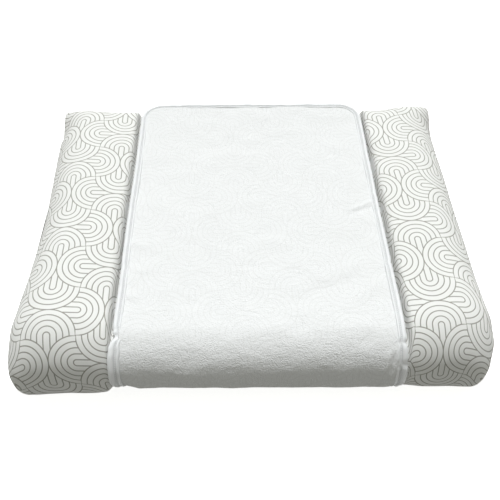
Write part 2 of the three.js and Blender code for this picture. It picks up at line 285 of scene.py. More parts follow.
# The print: arches in a square lattice. Its two steps, as cloth (u, v), and one of its points.
PITCH = 75 * MM
PRINT_ORIGIN = (-315 * MM, -197 * MM)
PRINT_ACROSS = (PITCH * math.cos(math.radians(0.64)), PITCH * math.sin(math.radians(0.64)))
PRINT_ALONG = (-PITCH * math.sin(math.radians(2.1)), 1.013 * PITCH * math.cos(math.radians(2.1)))
GROOVE_GATHERED = 5.9 * MM  # small folds in the bottom of the groove take up this much more cloth
FIRST_RING = 0.12           # ring radii, as a share of half the pitch
RING_STEP = 0.22
LINE_HALF = 0.0215


def print_lines(shader, soft=0.008):
    """1 on the printed lines and 0 between them."""
    m = shader.math
    u, v, _ = shader.split(shader.cloth())
    du = m("SUBTRACT", u, PRINT_ORIGIN[0])
    dv = m("SUBTRACT", v, PRINT_ORIGIN[1])
    area = PRINT_ACROSS[0] * PRINT_ALONG[1] - PRINT_ACROSS[1] * PRINT_ALONG[0]
    p = m("MULTIPLY_ADD", du, PRINT_ALONG[1] / area, m("MULTIPLY", dv, -PRINT_ALONG[0] / area))
    q = m("MULTIPLY_ADD", du, -PRINT_ACROSS[1] / area, m("MULTIPLY", dv, PRINT_ACROSS[0] / area))
    i, j = m("ROUND", p), m("ROUND", q)
    across, along = m("SUBTRACT", p, i), m("SUBTRACT", q, j)
    turned = m("FLOORED_MODULO", m("ADD", i, j), 2.0)   # 1 where the arches lie on their side
    swap = m("MULTIPLY", turned, m("SUBTRACT", along, across))
    a = m("ADD", across, swap)
    b = m("ABSOLUTE", m("SUBTRACT", along, swap))
    c = m("SUBTRACT", 0.5, b)
    ring = m("MULTIPLY", m("SQRT", m("ADD", m("MULTIPLY", a, a), m("MULTIPLY", c, c))), 2.0)
    inside = m("LESS_THAN", ring, 1.0)
    straight = m("MULTIPLY", b, 2.0)
    r = m("ADD", straight, m("MULTIPLY", inside, m("SUBTRACT", ring, straight)))
    step = m("MULTIPLY_ADD", r, 1 / RING_STEP, 0.5 - FIRST_RING / RING_STEP)
    gap = m("MULTIPLY", m("ABSOLUTE", m("SUBTRACT", m("FRACT", step), 0.5)), RING_STEP)
    rim = m("ABSOLUTE", m("SUBTRACT", ring, 1.0))
    return shader.ramp(m("MINIMUM", gap, rim), LINE_HALF - soft, LINE_HALF + soft, 1.0, 0.0)


def cotton_bump(shader):
    """Fine plain weave with a little unevenness."""
    u, v, _ = shader.split(shader.cloth())
    weave = shader.math("MULTIPLY", shader.waves(u, 0.7 * MM), shader.waves(v, 0.7 * MM))
    uneven = shader.texture("Noise", shader.place(), 9 * MM, Detail=3)
    shader.bump(shader.math("MULTIPLY_ADD", uneven, 1.6, weave), 0.12 * MM, 0.7)


def printed_cotton():
    s = Shader("printed_cotton", Roughness=0.86, Sheen_Weight=0.25, Sheen_Roughness=0.5,
               Specular_IOR_Level=0.2)
    ground_noise = s.texture("Noise", s.place(), 40 * MM, Detail=4)
    ground = s.mix(ground_noise, (0.8, 0.804, 0.79), (0.83, 0.834, 0.82))
    ink_noise = s.texture("Noise", s.place(), 2.2 * MM, Detail=3)
    ink = s.mix(ink_noise, (0.27, 0.265, 0.235), (0.36, 0.353, 0.32))
    s.color(s.mix(print_lines(s), ground, ink))
    cotton_bump(s)
    return s.material


def mottled(name, size, low, high, detail=2.0, **surface):
    """A material whose colour drifts between two tints, in patches of that size."""
    s = Shader(name, **surface)
    s.color(s.mix(s.texture("Noise", s.place(), size, Detail=detail), low, high))
    return s


def woven(name, axes, pitch, low, high, depth, **surface):
    """A fine plain weave along two of the axes."""
    s = Shader(name, **surface)
    place = dict(zip("xyz", s.split(s.place())))
    weave = s.math("MULTIPLY", *[s.waves(place[axis], pitch) for axis in axes])
    s.color(s.mix(s.ramp(weave, -1.0, 1.0), low, high))
    s.bump(weave, depth)
    return s.material


def plain_cotton():
    s = mottled("plain_cotton", 30 * MM, (0.89, 0.89, 0.86), (0.92, 0.92, 0.89), 4,
                Roughness=0.88, Sheen_Weight=0.25, Specular_IOR_Level=0.2)
    cotton_bump(s)
    return s.material


def terry():
    s = Shader("terry", Roughness=0.95, Sheen_Weight=0.35, Sheen_Roughness=0.6, Specular_IOR_Level=0.15)
    tint = s.mix(s.texture("Noise", s.place(), 60 * MM, Detail=3), (0.75, 0.76, 0.765), (0.77, 0.78, 0.785))
    loops = s.texture("Voronoi", s.cloth(), 1.7 * MM)
    shaded = s.mix(s.ramp(loops, 0.25, 0.9), tint, (0.74, 0.75, 0.76))
    ghost = s.math("MULTIPLY", print_lines(s, 0.012), 0.13)
    s.color(s.mix(ghost, shaded, (0.45, 0.45, 0.42)))
    clumps = s.texture("Noise", s.cloth(), 2.4 * MM, Detail=5)
    s.bump(s.math("MULTIPLY_ADD", clumps, 2.2, s.math("SUBTRACT", 1.0, loops)), 0.5 * MM, 1.0)
    return s.material


def satin():
    s = Shader("satin_binding", Roughness=0.5, Sheen_Weight=0.3, Specular_IOR_Level=0.4)
    u, v, _ = s.split(s.cloth())
    tint = s.mix(s.texture("Noise", s.place(), 25 * MM), (0.755, 0.77, 0.785), (0.8, 0.815, 0.825))
    # painted shade: the tape is darkened along its stitched groove, where shade falls between the two ridges
    painted_seam_shade = s.ramp(s.math("ABSOLUTE", s.math("SUBTRACT", u, STITCH_IN)), 0.6 * MM, 2.2 * MM, 0.6, 0.0)
    s.color(s.mix(painted_seam_shade, tint, (0.5, 0.51, 0.52)))
    ribs = s.math("ADD", s.waves(s.math("ADD", u, v), 0.6 * MM), s.texture("Noise", s.place(), 4 * MM))
    s.bump(ribs, 0.06 * MM, 0.7)
    return s.material


def thread():
    s = mottled("stitching_thread", 0.8 * MM, (0.82, 0.83, 0.84), (0.88, 0.885, 0.89),
                Roughness=0.6, Sheen_Weight=0.2)
    s.bump(s.texture("Noise", s.place(), 0.4 * MM), 0.1 * MM)
    return s.material


def elastic():
    s = Shader("ribbed_elastic", Roughness=0.75, Sheen_Weight=0.2)
    u, v, _ = s.split(s.cloth())
    ribs = s.waves(u, 1.8 * MM)
    s.color(s.mix(s.ramp(ribs, -1.0, 1.0), (0.8, 0.8, 0.79), (0.9, 0.9, 0.895)))
    s.bump(s.math("MULTIPLY_ADD", s.waves(v, 1.1 * MM), 0.3, ribs), 0.35 * MM)
    return s.material


def coated_liner():
    s = mottled("coated_liner", 30 * MM, (0.86, 0.87, 0.87), (0.9, 0.905, 0.905),
                Roughness=0.42, Coat_Weight=0.15)
    s.bump(s.texture("Voronoi", s.place(), 1.2 * MM), 0.05 * MM)
    return s.material


def foam():
    s = Shader("open_cell_foam", Roughness=0.97)
    cells = s.texture("Voronoi", s.place(), 1.4 * MM)
    s.color(s.mix(cells, (0.72, 0.66, 0.48), (0.9, 0.86, 0.72)))
    s.bump(cells, 0.6 * MM)
    return s.material


def zip_plastic():
    return mottled("zip_coil", 5 * MM, (0.8, 0.8, 0.79), (0.86, 0.86, 0.85),
                   Roughness=0.35, Specular_IOR_Level=0.5).material


def metal():
    s = mottled("plated_metal", 6 * MM, (0.6, 0.6, 0.61), (0.72, 0.72, 0.73), 5, Metallic=1.0, Roughness=0.28)
    s.bump(s.texture("Noise", s.place(), 1.5 * MM, Detail=4), 0.02 * MM)
    return s.material


PRINT, PLAIN, TERRY_CLOTH, SATIN = printed_cotton(), plain_cotton(), terry(), satin()
THREAD, ELASTIC, LINER, FOAM = thread(), elastic(), coated_liner(), foam()
TAPE = woven("zip_tape", "yz", 0.9 * MM, (0.78, 0.78, 0.76), (0.86, 0.86, 0.84), 0.15 * MM,
             Roughness=0.8, Sheen_Weight=0.2)
COIL, METAL = zip_plastic(), metal()
LABEL = woven("label_satin", "xz", 0.6 * MM, (0.86, 0.86, 0.85), (0.91, 0.91, 0.9), 0.08 * MM,
              Roughness=0.55, Sheen_Weight=0.2)

# ---------------------------------------------------------------- the pad's body
TOP_STEPS, UPPER_STEPS, SIDE_STEPS, LOWER_STEPS, BASE_STEPS = 48, 22, 4, 12, 60
BACK_LOWER_STEPS, BACK_SIDE_STEPS, BACK_UPPER_STEPS = 8, 10, 12


def end_rounding(x, inset):
    """How far the rounding of the end face draws in each side of the cross-section at x."""
    drawn_in = {}
    for side, outer_radius in END_RADII.items():
        radius = outer_radius - inset
        past = min(radius, max(0, abs(x) - (HALF_WIDTH - outer_radius)))
        drawn_in[side] = radius - math.sqrt(radius ** 2 - past ** 2)
    return drawn_in


DIAGONAL = math.sqrt(0.5)
CUT_CORNER = FRONT_LOWER * (1 - DIAGONAL)
LOWER_FRONT = (FRONT + CUT_CORNER, LIP_LIFT + CUT_CORNER)    # the middle of the front's lower rounding
DRAWN_REACH = 26 * MM
# How deep the lower front is drawn in, and between which distances from the towel's middle it starts
# and ends, from right to left, in mm: over the left half, and at the towel's left edge
DRAWN_IN = [(4.2, (110, -100), (-204, -220)), (8, (-168, -190), (-204, -222))]


def drawn_back(x, y, z):
    """The lower front goes back and up left of the middle, most where the towel's left edge pulls on it."""
    away = (np.asarray(x) - TOWEL_X) / MM
    depth = sum(deep * MM * smoothstep(*begin, away) * smoothstep(*end[::-1], away)
                for deep, begin, end in DRAWN_IN)
    from_middle = np.hypot(y - LOWER_FRONT[0], z - LOWER_FRONT[1])
    moved = depth * np.exp(-(from_middle / DRAWN_REACH) ** 2) * DIAGONAL
    return y + moved, z + moved


def outline(x, inset):
    """One closed cross-section as (y, z), and its cloth v.

    It goes from the top's middle forwards, down, under the pad and back up.
    """
    height, crown, back_radius, lift = section_at(x)
    top = lambda y: height - crown * (np.asarray(y) / BACK) ** 2
    front_radius = min(FRONT_UPPER_MAX, height - FRONT_CLEARANCE)
    front_top = top(FRONT + front_radius)
    front_radius = min(front_radius, front_top - FRONT_CLEARANCE)
    back_top = top(BACK - back_radius)
    front_y = np.linspace(0, FRONT + front_radius, TOP_STEPS, endpoint=False)
    back_y = np.linspace(BACK - back_radius, 0, TOP_STEPS, endpoint=False)
    upper = (FRONT + front_radius, front_top - front_radius)
    bolster = float(smoothstep(205 * MM, 240 * MM, abs(x - TOWEL_X)))
    lower_radius = FRONT_LOWER + (FRONT_LOWER_SIDES - FRONT_LOWER) * bolster
    lower = (FRONT + lower_radius, lift + lower_radius)
    points = np.concatenate([
        np.stack([front_y, top(front_y) - inset], 1),
        arc(*upper, front_radius - inset, 90, 180, UPPER_STEPS),
        line((FRONT + inset, upper[1]), (FRONT + inset, lower[1]), SIDE_STEPS),
        arc(*lower, lower_radius - inset, 180, 270, LOWER_STEPS),
        line((lower[0], lift + inset), (BACK - BACK_LOWER, inset), BASE_STEPS),
        arc(BACK - BACK_LOWER, BACK_LOWER, BACK_LOWER - inset, 270, 360, BACK_LOWER_STEPS),
        line((BACK - inset, BACK_LOWER), (BACK - inset, back_top - back_radius), BACK_SIDE_STEPS),
        arc(BACK - back_radius, back_top - back_radius, back_radius - inset, 0, 90, BACK_UPPER_STEPS),
        np.stack([back_y, top(back_y) - inset], 1),
    ])
    base = (points[:, 0] > LIP_END + 9 * MM) & (points[:, 1] < lift + inset + 0.01 * MM)
    points[base, 1] = np.minimum(points[base, 1], inset)
    drawn_in = end_rounding(x, inset)
    across = (points[:, 0] - FRONT - inset) / (BACK - FRONT - 2 * inset)
    fullness = 1 - BACK_CORNER_FULLNESS * smoothstep(0.87, 0.99, across)
    z_scale = 1 - (drawn_in["top"] * fullness + drawn_in["lower"]) / (height - 2 * inset)
    y_scale = 1 - (drawn_in["front"] + drawn_in["back"]) / (BACK - FRONT - 2 * inset)
    points[:, 0] = FRONT + inset + drawn_in["front"] + (points[:, 0] - FRONT - inset) * y_scale
    points[:, 1] = inset + drawn_in["lower"] + (points[:, 1] - inset) * z_scale
    points[:, 0], points[:, 1] = drawn_back(x, *points.T)
    step = np.linalg.norm(np.diff(points, axis=0, append=points[:1]), axis=1)
    travelled = np.concatenate([[0], np.cumsum(step)[:-1]])
    half = np.arange(len(points)) < TOP_STEPS + UPPER_STEPS + SIDE_STEPS + LOWER_STEPS + BASE_STEPS // 2
    return points, np.where(half, -travelled, step.sum() - travelled)


def cloth_u(x):
    """Cloth coordinate across the pad, which counts the cloth that goes down into each groove."""
    travelled = np.concatenate([[0], np.cumsum(np.hypot(np.diff(TABLE[0]), np.diff(TABLE[1])))])
    from_middle = travelled - np.interp(0, TABLE[0], travelled)
    away = (x - TOWEL_X) / MM
    gathered = GROOVE_GATHERED * float(smoothstep(200, 209, abs(away)))
    return TOWEL_X + math.copysign(np.interp(abs(away), TABLE[0], from_middle) * MM + gathered, away)


def stations(inset):
    """The x of every cross-section: close together at the grooves and round the ends."""
    straight = HALF_WIDTH - END_RADII["top"]
    plain = np.arange(-straight + 2 * MM, straight - 2 * MM, 4.5 * MM)
    fine = [TOWEL_X + side * d for side in (-1, 1) for d in np.arange(196, 224, 0.9) * MM]
    near = lambda x: 194 * MM < abs(x - TOWEL_X) < 226 * MM
    ends = [straight + (END_RADII["top"] - inset) * math.sin(a) for a in np.radians(np.linspace(0, 90, 30))]
    return sorted([x for x in plain if not near(x)] + fine + ends + [-x for x in ends])


# How far the stuffed ends stand out past a true rounding, in mm, at those distances from front to back
END_FULLNESS_AT = [-275, -200, -120, 0, 120, 200, 245, 275]
END_FULLNESS = {-1: [3, 6, 0, -6, 0, 3, -6, -9], 1: [-13, 0, -4, -4, -3, -2, -8, -13]}


def end_fullness(x, y, z):
    """Moves the ends out or in. The right end keeps to its place around the zip."""
    moved = np.zeros_like(x)
    for side, amounts in END_FULLNESS.items():
        amount = np.interp(y, np.array(END_FULLNESS_AT) * MM, amounts) * MM
        reach = smoothstep(0.24, 0.345, side * x)
        if side > 0:
            reach = reach * np.maximum(smoothstep(52 * MM, 85 * MM, z), smoothstep(-0.215, -0.25, y))
        moved += side * amount * reach
    return moved


def corner_lift(x, y, z):
    """The right back corner is stuffed a little higher."""
    return 4 * MM * smoothstep(0.24, 0.32, x) * smoothstep(0.19, 0.26, y) * smoothstep(0.06, 0.1, z)


RECESS_LENGTH, RECESS_HEIGHT, RECESS_DEPTH = 406 * MM, 27.2 * MM, 1.5 * MM    # behind the zip


def make_room(verts, inset, floor):
    """Recesses the right end behind the zip, and raises the base over the straps and to its inner floor."""
    x, y, z = verts.T
    behind_zip = (x > HALF_WIDTH - 9 * MM) & (np.abs(y) < RECESS_LENGTH / 2)
    behind_zip &= np.abs(z - ZIP_Z) < RECESS_HEIGHT / 2
    x[behind_zip] = np.minimum(x[behind_zip], HALF_WIDTH - RECESS_DEPTH - 1.1 * inset)
    from_strap = np.abs(np.abs(x - TOWEL_X) - STRAP_X)
    channel = CHANNEL * (1 - smoothstep(13 * MM, 15 * MM, from_strap)) * (y > LIP_END)
    z[:] = np.maximum(z, np.maximum(floor, channel))


def pad_mesh(name, inset, material, bulge=0.0, floor=0.0):
    """A closed pad drawn in by inset, with cloth coordinates. Its left end may bulge."""
    rows = stations(inset)
    outlines = [outline(x, inset) for x in rows]
    verts = np.array([np.column_stack([np.full(len(p), x), p]) for x, (p, _) in zip(rows, outlines)])
    v = np.array([along for _, along in outlines])
    u = np.tile([cloth_u(x) for x in rows], (verts.shape[1], 1)).T
    straight = HALF_WIDTH - END_RADII["top"]
    middle = len(rows) // 2
    for step in (1, -1):                     # round the ends, u is the way that the cloth travels
        for r in range(middle, len(rows) if step > 0 else -1, step):
            if abs(rows[r]) > straight + 0.1 * MM:
                moved = ((verts[r] - verts[r - step]) ** 2).sum(1) - (v[r] - v[r - step]) ** 2
                u[r] = u[r - step] + step * np.sqrt(np.maximum(moved, (0.2 * MM) ** 2))
    uv = np.stack([u, v], 2)
    base_start = TOP_STEPS + UPPER_STEPS + SIDE_STEPS + LOWER_STEPS
    base = slice(base_start, base_start + BASE_STEPS)
    for r, x in enumerate(rows):
        if abs(x) > HALF_WIDTH - END_RADII["lower"]:
            end = -1 if x > 0 else 0
            uv[r, base] = hanging_cloth(verts[end], uv[end], verts[r, base], math.copysign(1, x))
    count = verts.shape[1]
    faces = grid_faces(len(rows), count, close_columns=True)
    verts, uv = list(verts.reshape(-1, 3)), list(uv.reshape(-1, 2))
    for side in (-1, 1):
        start = (len(rows) - 1) * count if side > 0 else 0
        faces += end_cap(verts, uv, start, count, side, bulge if side < 0 else 0.0)
    verts = np.array(verts)
    verts[:, 0] += end_fullness(*verts.T)
    verts[:, 2] += corner_lift(*verts.T)
    make_room(verts, inset, floor)
    obj = make_object(name, verts, faces, material)
    set_uv(obj, uv)
    return obj


def hanging_cloth(edge, edge_uv, points, side):
    """Cloth coordinates on an end face, where the cloth hangs straight down from the edge of the top."""
    upper = (edge[:, 2] > 40 * MM) & (np.gradient(edge[:, 1]) < 0)
    order = np.argsort(edge[upper, 1])
    top_u = np.interp(points[:, 1], edge[upper, 1][order], edge_uv[upper, 0][order])
    top_z = np.interp(points[:, 1], edge[upper, 1][order], edge[upper, 2][order])
    drop = top_z - points[:, 2] + np.abs(edge[0, 0] - points[:, 0])
    return np.column_stack([top_u + side * drop, points[:, 1]])


def end_cap(verts, uv, start, count, side, bulge, rings=9):
    """Closes an end with rings that shrink to its long middle line; its cloth hangs on from the top's."""
    edge = np.array(verts[start:start + count])
    edge_uv = np.array(uv[start:start + count])
    low, high = edge[:, 1].min(), edge[:, 1].max()
    middle = np.column_stack([edge[:, 0], np.clip(edge[:, 1], low + 12 * MM, high - 12 * MM),
                              np.full(count, 40 * MM)])
    faces, ring_start = [], len(verts)
    for k in range(rings + 1):
        share = k / (rings + 0.3)
        ring = edge + (middle - edge) * share
        ring[:, 0] += side * bulge * (1 - (1 - share) ** 2)
        verts += list(ring)
        uv += list(hanging_cloth(edge, edge_uv, ring, side))
        for c in range(count if k else 0):
            d = (c + 1) % count
            inner, outer = ring_start + k * count, ring_start + (k - 1) * count
            quad = (outer + c, outer + d, inner + d, inner + c)
            faces.append(quad if side > 0 else quad[::-1])
    last = tuple(range(ring_start + rings * count, ring_start + (rings + 1) * count))
    faces.append(last if side > 0 else last[::-1])
    return faces


def keep_side(obj, z, above):
    """Cuts a mesh at a height and keeps what is above or below."""
    mesh = bmesh.new()
    mesh.from_mesh(obj.data)
    bmesh.ops.remove_doubles(mesh, verts=mesh.verts, dist=SAME_PLACE)
    bmesh.ops.bisect_plane(
        mesh, geom=mesh.verts[:] + mesh.edges[:] + mesh.faces[:], dist=1e-7,
        plane_co=(0, 0, z), plane_no=(0, 0, 1), clear_inner=above, clear_outer=not above)
    mesh.to_mesh(obj.data)
    mesh.free()


def copy_of(obj, name):
    other = obj.copy()
    other.data = obj.data.copy()
    other.name = other.data.name = name
    bpy.context.scene.collection.objects.link(other)
    return other


def shape_cover(obj):
    """Small unevenness of stuffed cloth, and a pinch all round at the base seam.

    It is less under the towel, and there is none behind the zip and the label.
    """
    mesh = obj.data
    count = len(mesh.vertices)
    place = np.empty(count * 3)
    normal = np.empty(count * 3)
    mesh.vertices.foreach_get("co", place)
    mesh.vertices.foreach_get("normal", normal)
    place, normal = place.reshape(-1, 3), normal.reshape(-1, 3)
    x, y, z = place.T
    lumps = 0.7 * MM * noise(x, y, 55 * MM, 3) + 0.35 * MM * noise(x + z, y - z, 21 * MM, 4)
    upper = smoothstep(2 * MM, 16 * MM, z) * (0.3 + 0.7 * smoothstep(0.199, 0.205, np.abs(x - TOWEL_X)))
    upper[(x > HALF_WIDTH - 16 * MM) & (np.abs(y) < 212 * MM) & (np.abs(z - ZIP_Z) < 20 * MM)] = 0
    label_low, label_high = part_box("care_label")
    behind_label = (y > BACK - 6 * MM) & (x > label_low[0] - 14 * MM) & (x < label_high[0] + 14 * MM)
    upper[behind_label & (z < label_high[2] + 14 * MM)] = 0
    pinch = -1.3 * MM * np.exp(-((z - SEAM_Z) / (2.5 * MM)) ** 2)
    place += normal * (lumps * upper + pinch)[:, None]
    mesh.vertices.foreach_set("co", place.ravel())


cover = pad_mesh("cover_top_cloth", 0.0, PRINT, bulge=3 * MM)
shape_cover(cover)
base = copy_of(cover, "cover_base_cloth")
base.data.materials[0] = PLAIN
keep_side(cover, SEAM_Z, above=True)
keep_side(base, SEAM_Z, above=False)
for shell, node in ((cover, "cover_top"), (base, "cover_base")):
    add_modifier(shell, "SOLIDIFY", thickness=0.9 * MM, offset=-1.0)
    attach(shell, "pad")
    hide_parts(node)


# ---------------------------------------------------------------- liner and foam
LINER_INSET, FOAM_INSET = 2.2 * MM, 3.6 * MM
LINER_FLOOR, FOAM_FLOOR = 4 * MM, 5.2 * MM
LINER_SEAM_Z = 40 * MM
FOAM_GAP = 0.4 * MM
FAR = 9.0                   # metres, past everything


def inner_pieces():
    """The wipeable liner in two halves, and the foam in three blocks."""
    skin = pad_mesh("liner_top_skin", LINER_INSET, LINER, floor=LINER_FLOOR)
    lower = copy_of(skin, "liner_base_skin")
    keep_side(skin, LINER_SEAM_Z, above=True)
    keep_side(lower, LINER_SEAM_Z, above=False)
    for shell, node in ((skin, "liner_top"), (lower, "liner_base")):
        add_modifier(shell, "SOLIDIFY", thickness=0.6 * MM, offset=-1.0)
        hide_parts(node)
        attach(shell, "pad")
    core = pad_mesh("foam_core", FOAM_INSET, FOAM, floor=FOAM_FLOOR)
    joints = [-FAR, TOWEL_X - 210 * MM, TOWEL_X + 210 * MM, FAR]
    for name, low, high in zip(("foam_side_left", "foam_centre", "foam_side_right"), joints, joints[1:]):
        block = copy_of(core, name + "_block")
        mesh = bmesh.new()
        mesh.from_mesh(block.data)
        bmesh.ops.remove_doubles(mesh, verts=mesh.verts, dist=SAME_PLACE)
        for at, toward in ((low + FOAM_GAP / 2, -1), (high - FOAM_GAP / 2, 1)):
            geom = mesh.verts[:] + mesh.edges[:] + mesh.faces[:]
            cut = bmesh.ops.bisect_plane(mesh, geom=geom, dist=1e-7, plane_co=(at, 0, 0),
                                         plane_no=(toward, 0, 0), clear_outer=True)
            rim = [e for e in cut["geom_cut"] if isinstance(e, bmesh.types.BMEdge)]
            if rim:
                bmesh.ops.contextual_create(mesh, geom=rim)
        mesh.to_mesh(block.data)
        mesh.free()
        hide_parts(name)
        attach(block, "pad")
    bpy.data.objects.remove(core)


inner_pieces()


# ---------------------------------------------------------------- the towel
def towel_path(offset, spacing):
    """From the back edge forwards over the top, down the front and under: (y, z), normals and distances."""
    upper = MIDDLE_HEIGHT - FRONT_CLEARANCE
    top = MIDDLE_HEIGHT + offset
    parts = [
        line((TOWEL_BACK, top), (FRONT + upper, top), 400),
        arc(FRONT + upper, FRONT_CLEARANCE, upper + offset, 90, 180, 90),
        line((FRONT - offset, FRONT_CLEARANCE), (FRONT - offset, LIP_LIFT + FRONT_LOWER), 5),
        arc(FRONT + FRONT_LOWER, LIP_LIFT + FRONT_LOWER, FRONT_LOWER + offset, 180, 270, 60),
        line((FRONT + FRONT_LOWER, LIP_LIFT - offset), (LIP_END, LIP_LIFT - offset), 20),
        [(LIP_END, LIP_LIFT - offset)],
    ]
    raw = np.concatenate(parts)
    travelled = distances(raw)
    at = np.linspace(0, travelled[-1], int(travelled[-1] / spacing) + 1)
    points = sample(at, travelled, raw)
    tangent = unit(np.gradient(points, axis=0))
    normals = np.stack([tangent[:, 1], -tangent[:, 0]], 1)
    return points, normals, at


def ridge(x, v, start, end, width, height):
    """A soft fold of that width and height along a line from start to end."""
    start, end = np.array(start) * MM, np.array(end) * MM
    along = end - start
    length = np.linalg.norm(along)
    dx, dv = x - start[0], v - start[1]
    t = (dx * along[0] + dv * along[1]) / length
    across = (dx * along[1] - dv * along[0]) / length
    fade = smoothstep(-0.15 * length, 0.25 * length, t) * (1 - smoothstep(0.75 * length, 1.15 * length, t))
    return height * MM * fade * np.exp(-(across / (width * MM)) ** 2)


# Unevenness of the towel: height, squash along v, size in mm, seed
WAVES = [(1.3, 1, 75, 11), (0.75, 1.4, 31, 12), (0.16, 1.5, 9, 13), (0.12, 1, 4.4, 14), (0.15, 2.6, 12, 15)]
FOLDS = [  # start and end as (x, v) in mm, width, height
    ((158, 0), (203, 20), 4, 1.7),
    ((152, -12), (198, 7), 5, -1.1),
    ((95, -150), (175, -100), 16, 1.6),
    ((120, -190), (195, -140), 14, 1.4),
    ((70, -170), (160, -130), 10, -1.0),
    ((-100, 110), (-20, 150), 18, 1.3),
    ((-110, 150), (-30, 175), 16, -0.9),
    ((-190, -60), (-165, -75), 7, 1.2),
    ((-190, -110), (-160, -122), 8, 1.2),
    ((-192, -160), (-166, -168), 7, 1.2),
    ((-190, 0), (-168, -8), 8, 0.9),
    ((191, -262), (187, -294), 2.6, -2.2),
    ((183, -258), (179, -292), 4.5, 1.3),
    ((-189, -288), (-187, -326), 2.4, -2.2),
]


def towel_height(x, v):
    """How far the towel's surface stands off its plain path."""
    waves = sum(high * MM * noise(x, v * squash, size * MM, seed) for high, squash, size, seed in WAVES)
    return waves + sum(ridge(x, v, *fold) for fold in FOLDS)


def back_lift(v):
    """The towel's back edge stands up a little off the pad."""
    return 2.2 * MM * smoothstep(0.17, 0.28, v)


def towel_cloth():
    """The terry panel, 2 mm thick, with round back corners."""
    spacing = 2.2 * MM
    points, normals, at = towel_path(GAP + TERRY, spacing)
    half = TOWEL_HALF - PANEL_IN
    columns = int(2 * half / spacing)
    t = np.linspace(-1, 1, columns)
    corner = TOWEL_CORNER - PANEL_IN
    verts, uv = [], []
    for (y, z), (ny, nz), s in zip(points, normals, at):
        if s < PANEL_IN:
            continue
        into = corner - (s - PANEL_IN)
        width = half - corner + math.sqrt(corner ** 2 - into ** 2) if into > 0 else half
        x = TOWEL_X + t * width
        v = TOWEL_BACK - s
        off = towel_height(x, np.full(columns, v))
        sink = smoothstep(half - 14 * MM, half, np.abs(x - TOWEL_X)) * 0.8 * MM
        under = smoothstep(-0.372, -0.340, v)      # flat where it goes under the pad
        off = np.maximum((off - sink) * under, -1.5 * MM) + back_lift(v)
        verts.append(np.column_stack([x, *drawn_back(x, y + ny * off, z + nz * off)]))
        uv.append(np.column_stack([x, np.full(columns, v)]))
    rows = len(verts)
    faces = [f[::-1] for f in grid_faces(rows, columns)]
    obj = make_object("towel_terry", np.concatenate(verts), faces, TERRY_CLOTH)
    set_uv(obj, np.concatenate(uv))
    add_modifier(obj, "SOLIDIFY", thickness=2.0 * MM, offset=-1.0)
    return obj


def binding_path(spacing):
    """The towel's outer edge, up the left side, along the back and down the right.

    Gives its points, the normals there, the ways in from the edge, and the distances along it.
    """
    points, normals, at = towel_path(GAP, spacing)
    side = at >= TOWEL_CORNER
    y, z, ny, nz = points[side, 0], points[side, 1], normals[side, 0], normals[side, 1]
    zero = np.zeros(side.sum())
    left = np.column_stack([zero + TOWEL_X - TOWEL_HALF, y, z])[::-1]
    right = np.column_stack([zero + TOWEL_X + TOWEL_HALF, y, z])
    side_normal = np.column_stack([zero, ny, nz])
    count = int(TOWEL_CORNER * math.pi / 2 / spacing)
    top = MIDDLE_HEIGHT + GAP
    centre_y, centre_x = TOWEL_BACK - TOWEL_CORNER, TOWEL_HALF - TOWEL_CORNER
    angle = np.linspace(0, math.pi / 2, count)[1:-1]
    turn = lambda a, sign: np.column_stack([
        TOWEL_X + sign * (centre_x + TOWEL_CORNER * np.cos(a)), centre_y + TOWEL_CORNER * np.sin(a),
        np.full(len(a), top)])
    across = np.linspace(-centre_x, centre_x, int(2 * centre_x / spacing))
    rear = np.column_stack([TOWEL_X + across, np.full(len(across), TOWEL_BACK), np.full(len(across), top)])
    path = np.concatenate([left, turn(angle, -1), rear, turn(angle[::-1], 1), right])
    flat = np.tile([0.0, 0.0, 1.0], (len(path) - 2 * len(left), 1))
    normal = np.concatenate([side_normal[::-1], flat, side_normal])
    inward = np.cross(unit(np.gradient(path, axis=0)), normal)
    path[:, 2] += back_lift(path[:, 1]) * (path[:, 2] > 90 * MM)
    path[:, 1], path[:, 2] = drawn_back(*path.T)
    return path, normal, inward, distances(path)


# The folded tape's cross-section: distance in from the edge and height, in mm
TAPE_TOP = np.array([
    [0, 0.8], [0.3, 2.0], [1.2, 3.2], [2.5, 3.9], [4, 4.1], [5.2, 3.7], [6.2, 2.9], [7, 2.1], [7.6, 2.0],
    [8.3, 2.4], [9.3, 3.3], [10.3, 3.7], [11.2, 3.4], [12, 2.0]])
TAPE_UNDERSIDE = np.array([[11.6, 0.5], [6, 0.15], [0.6, 0.3]])
TAPE_WIDTH = 12 * MM
# Pinched gathers in the binding: side, cloth v, how deep and how wide, in mm
GATHERS = [
    (-1, -241, 3.6, 4.5), (-1, -231, 1.2, 3), (-1, -262, 1, 5), (-1, -330, 2.0, 6), (1, -246, 1.6, 4),
    (1, -275, 1.6, 5), (1, -325, 2.2, 6), (-1, -120, 0.7, 5), (1, 40, 0.8, 5), (1, -110, 0.7, 5)]


def tape_fullness(travelled):
    """How thick the tape is along its length, as a share of its usual thickness."""
    return 1 + 0.16 * noise(travelled, travelled * 0, 13 * MM, 22)


def pressed_at_gathers(path, travelled):
    """How far the tape is pressed down at its gathers."""
    pressed = np.zeros(len(path))
    for side, v, depth, width in GATHERS:
        near_end = side * (path[:, 0] - TOWEL_X) > TOWEL_HALF - 1 * MM
        from_end = np.where(side < 0, travelled, travelled[-1] - travelled)
        at = towel_length() - (TOWEL_BACK - v * MM)
        pressed += near_end * depth * MM * np.exp(-((from_end - at) / (width * MM)) ** 2)
    return pressed


